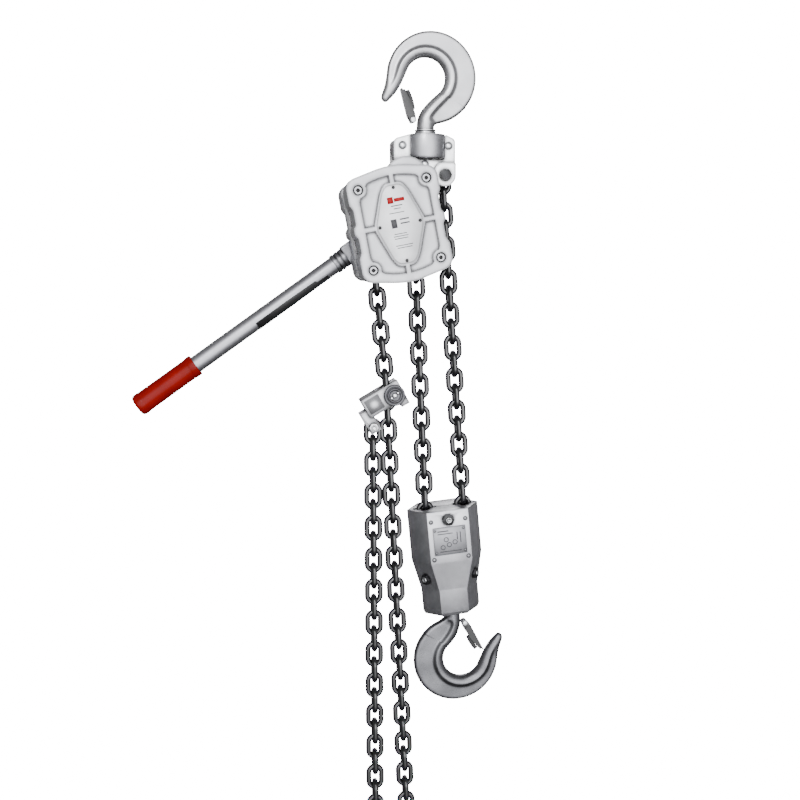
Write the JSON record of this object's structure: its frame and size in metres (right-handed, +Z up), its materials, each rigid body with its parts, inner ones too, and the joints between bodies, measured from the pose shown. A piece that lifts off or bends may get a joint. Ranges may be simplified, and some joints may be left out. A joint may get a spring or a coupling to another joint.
{
  "type": "lever chain hoist",
  "caption": "Hand-operated lever chain hoist with a top hook, a geared and braked body, a ratchet lever, a two-fall lower block with a swivel hook and a slack chain loop.",
  "frame": {"origin": "centre of the upper hook bowl", "axes": "+X to the right seen from the gear cover, -Y out of the gear cover, +Z up along the hanging hoist"},
  "size_m": [0.6825, 0.2328, 1.495],
  "materials": {
    "forged_steel": "satin, heat-treated forging",
    "zinc_steel": "bright zinc plate",
    "casing_silver": "light silver-grey paint, semi-gloss",
    "plate_grey": "mid grey paint, semi-gloss",
    "yoke_grey": "dark grey paint",
    "chain_black": "black oiled, glossy",
    "bolt_black": "black oxide",
    "gear_steel": "ground and greased",
    "bronze": "plain bronze",
    "friction_lining": "woven friction lining",
    "grip_red": "red moulded rubber, satin",
    "strip_black": "black plastic",
    "nameplate_silver": "plain brushed plate",
    "label_grey": "plain grey plate",
    "cap_dark": "dark grey paint"
  },
  "bodies": {
    "top_hook": {"upper_hook": "forged_steel", "upper_hook_nut": "gear_steel", "hook_washers": "zinc_steel", "upper_latch_pin": "zinc_steel"},
    "top_latch": {"upper_latch": "zinc_steel"},
    "hoist_frame": {"top_yoke": "yoke_grey", "front_plate": "plate_grey", "rear_plate": "plate_grey", "yoke_rivets": "zinc_steel", "anchor_bolt": "bolt_black", "gear_case": "casing_silver", "gear_cover": "casing_silver", "cover_bolts": "zinc_steel", "nameplate": "nameplate_silver", "centre_casing": "plate_grey", "chain_stripper": "gear_steel", "body_bushes": "bronze", "pawl_pins": "zinc_steel", "brake_cover": "casing_silver", "brake_cover_bolts": "bolt_black", "chain_over_sheave": "chain_black", "chain_exits": "chain_black", "anchor_chain": "chain_black"},
    "sheave": {"load_sheave": "gear_steel", "load_gear": "gear_steel"},
    "upper_idle_gear": {"upper_gear": "gear_steel"},
    "lower_idle_gear": {"lower_gear": "gear_steel"},
    "drive": {"drive_shaft": "gear_steel", "brake_hub": "gear_steel", "friction_discs": "friction_lining", "change_gear": "gear_steel", "hand_wheel": "cap_dark", "hand_wheel_nut": "zinc_steel"},
    "ratchet": {"ratchet_disc": "gear_steel"},
    "pawl_right": {"brake_pawl_right": "gear_steel"},
    "pawl_left": {"brake_pawl_left": "gear_steel"},
    "lever": {"lever_hub_front": "casing_silver", "lever_hub_rear": "casing_silver", "lever_screws": "bolt_black", "lever_tube": "casing_silver", "lever_ferrule": "zinc_steel", "lever_grip": "grip_red", "lever_strip": "strip_black"},
    "selector": {"selector_pawl": "bolt_black"},
    "falls": {"falls_chain": "chain_black", "block_shell_front": "casing_silver", "block_shell_rear": "casing_silver", "block_bolts": "bolt_black", "block_label": "label_grey", "idler_axle": "gear_steel"},
    "idler": {"idler_sheave": "gear_steel"},
    "bottom_hook": {"lower_hook": "forged_steel", "lower_hook_nut": "gear_steel", "lower_latch_pin": "zinc_steel"},
    "bottom_latch": {"lower_latch": "zinc_steel"},
    "slack": {"slack_chain": "chain_black", "clip_housing": "casing_silver", "clip_cap": "cap_dark", "clip_bolt": "zinc_steel"}
  },
  "joints": [
    {"name": "top_swivel", "type": "hinge", "parent": "top_hook", "child": "hoist_frame", "pos_m": [0, 0, -0.12], "axis": [0, 0, 1], "continuous": true},
    {"name": "top_latch_hinge", "type": "hinge", "parent": "top_hook", "child": "top_latch", "pos_m": [-0.023, 0, -0.074], "axis": [0, 1, 0], "range_deg": [0, 30], "stiffness_Nm_per_rad": 0.12, "springref_deg": -51.57},
    {"name": "sheave_turn", "type": "hinge", "parent": "hoist_frame", "child": "sheave", "pos_m": [-0.06, 0, -0.261], "axis": [0, 1, 0], "continuous": true, "deforming": ["chain_over_sheave"]},
    {"name": "upper_gear_turn", "type": "hinge", "parent": "hoist_frame", "child": "upper_idle_gear", "pos_m": [-0.05249, 0, -0.21359], "axis": [0, 1, 0], "continuous": true},
    {"name": "lower_gear_turn", "type": "hinge", "parent": "hoist_frame", "child": "lower_idle_gear", "pos_m": [-0.06751, 0, -0.30841], "axis": [0, 1, 0], "continuous": true},
    {"name": "drive_turn", "type": "hinge", "parent": "hoist_frame", "child": "drive", "pos_m": [-0.06, 0, -0.261], "axis": [0, 1, 0], "continuous": true},
    {"name": "ratchet_turn", "type": "hinge", "parent": "drive", "child": "ratchet", "pos_m": [-0.06, 0, -0.261], "axis": [0, 1, 0], "continuous": true},
    {"name": "pawl_right_hinge", "type": "hinge", "parent": "hoist_frame", "child": "pawl_right", "pos_m": [-0.0055, 0, -0.24116], "axis": [0, -1, 0], "range_deg": [0, 12], "stiffness_Nm_per_rad": 0.08, "springref_deg": -28.65},
    {"name": "pawl_left_hinge", "type": "hinge", "parent": "hoist_frame", "child": "pawl_left", "pos_m": [-0.1145, 0, -0.28084], "axis": [0, -1, 0], "range_deg": [0, 12], "stiffness_Nm_per_rad": 0.08, "springref_deg": -28.65},
    {"name": "lever_swing", "type": "hinge", "parent": "hoist_frame", "child": "lever", "pos_m": [-0.06, 0.086, -0.261], "axis": [0, 1, 0], "continuous": true},
    {"name": "selector_swing", "type": "hinge", "parent": "lever", "child": "selector", "pos_m": [-0.10402, 0.086, -0.29228], "axis": [0, 1, 0], "range_deg": [-14, 14]},
    {"name": "fall_swing", "type": "hinge", "parent": "hoist_frame", "child": "falls", "pos_m": [-0.015, 0, -0.3896], "axis": [0.9887, 0, 0.1499], "range_deg": [-15, 15]},
    {"name": "idler_turn", "type": "hinge", "parent": "falls", "child": "idler", "pos_m": [0.04113, 0, -0.84891], "axis": [0, 1, 0], "continuous": true},
    {"name": "bottom_swivel", "type": "hinge", "parent": "falls", "child": "bottom_hook", "pos_m": [0.05317, 0, -0.97397], "axis": [-0.0958, 0, 0.9954], "range_deg": [-150, 150]},
    {"name": "bottom_latch_hinge", "type": "hinge", "parent": "bottom_hook", "child": "bottom_latch", "pos_m": [0.077, 0, -0.999], "axis": [0, 1, 0], "range_deg": [0, 30], "stiffness_Nm_per_rad": 0.12, "springref_deg": -51.57},
    {"name": "slack_swing", "type": "hinge", "parent": "hoist_frame", "child": "slack", "pos_m": [-0.08474, 0, -0.41155], "axis": [0.9951, 0, 0.0987], "range_deg": [-30, 30]}
  ],
  "couplings": [
    {"joint": "upper_gear_turn", "follows": "sheave_turn", "ratio": -3},
    {"joint": "lower_gear_turn", "follows": "sheave_turn", "ratio": -3},
    {"joint": "drive_turn", "follows": "sheave_turn", "ratio": 9}
  ]
}
